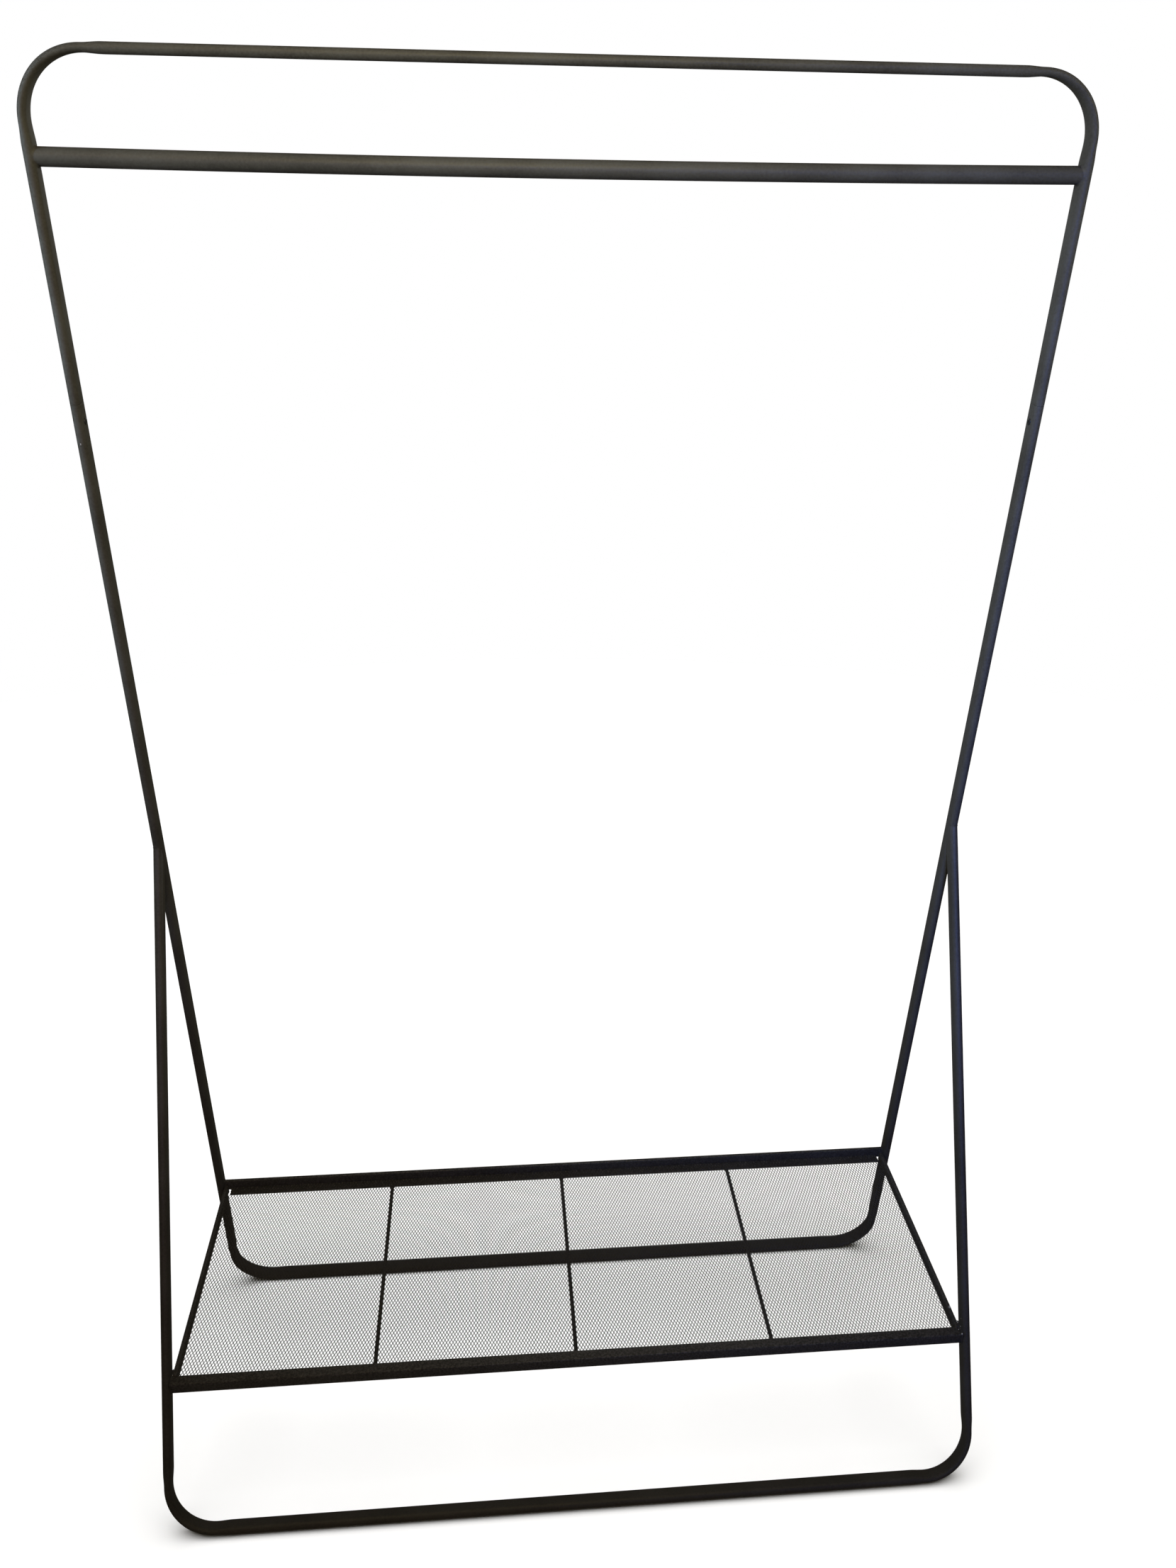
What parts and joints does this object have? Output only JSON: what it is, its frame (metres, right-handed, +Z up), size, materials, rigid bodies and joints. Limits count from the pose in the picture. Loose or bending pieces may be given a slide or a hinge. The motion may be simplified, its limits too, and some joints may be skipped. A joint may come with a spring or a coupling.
{
  "type": "garment rail",
  "caption": "Free-standing black tube garment rail: a tall leaning hoop and a short front leg frame, a round hanging rail and a low sloping mesh shelf.",
  "frame": {"origin": "on the floor, in the middle of the footprint and of the width", "axes": "+X to the user's right, +Y to the rear (the tall loop's floor run), +Z up"},
  "size_m": [1, 0.4323, 1.6239],
  "materials": {
    "frame_coat": "satin powder coat",
    "rail_coat": "satin powder coat",
    "shelf_coat": "satin powder coat",
    "mesh_coat": "satin powder coat",
    "spigot_steel": "plain steel",
    "screw_black": "blackened steel"
  },
  "bodies": {
    "root": {"upper_hoop": "frame_coat", "lower_rear_loop": "frame_coat", "front_leg_frame": "frame_coat", "hanging_rail": "rail_coat", "joint_spigot_left": "spigot_steel", "joint_spigot_right": "spigot_steel", "joint_screw_left": "screw_black", "joint_screw_right": "screw_black", "shelf_front_rail": "shelf_coat", "shelf_back_rail": "shelf_coat", "shelf_side_rail_left": "shelf_coat", "shelf_side_rail_right": "shelf_coat", "shelf_mesh": "mesh_coat", "shelf_cross_bar_left": "shelf_coat", "shelf_cross_bar_centre": "shelf_coat", "shelf_cross_bar_right": "shelf_coat"}
  },
  "joints": []
}
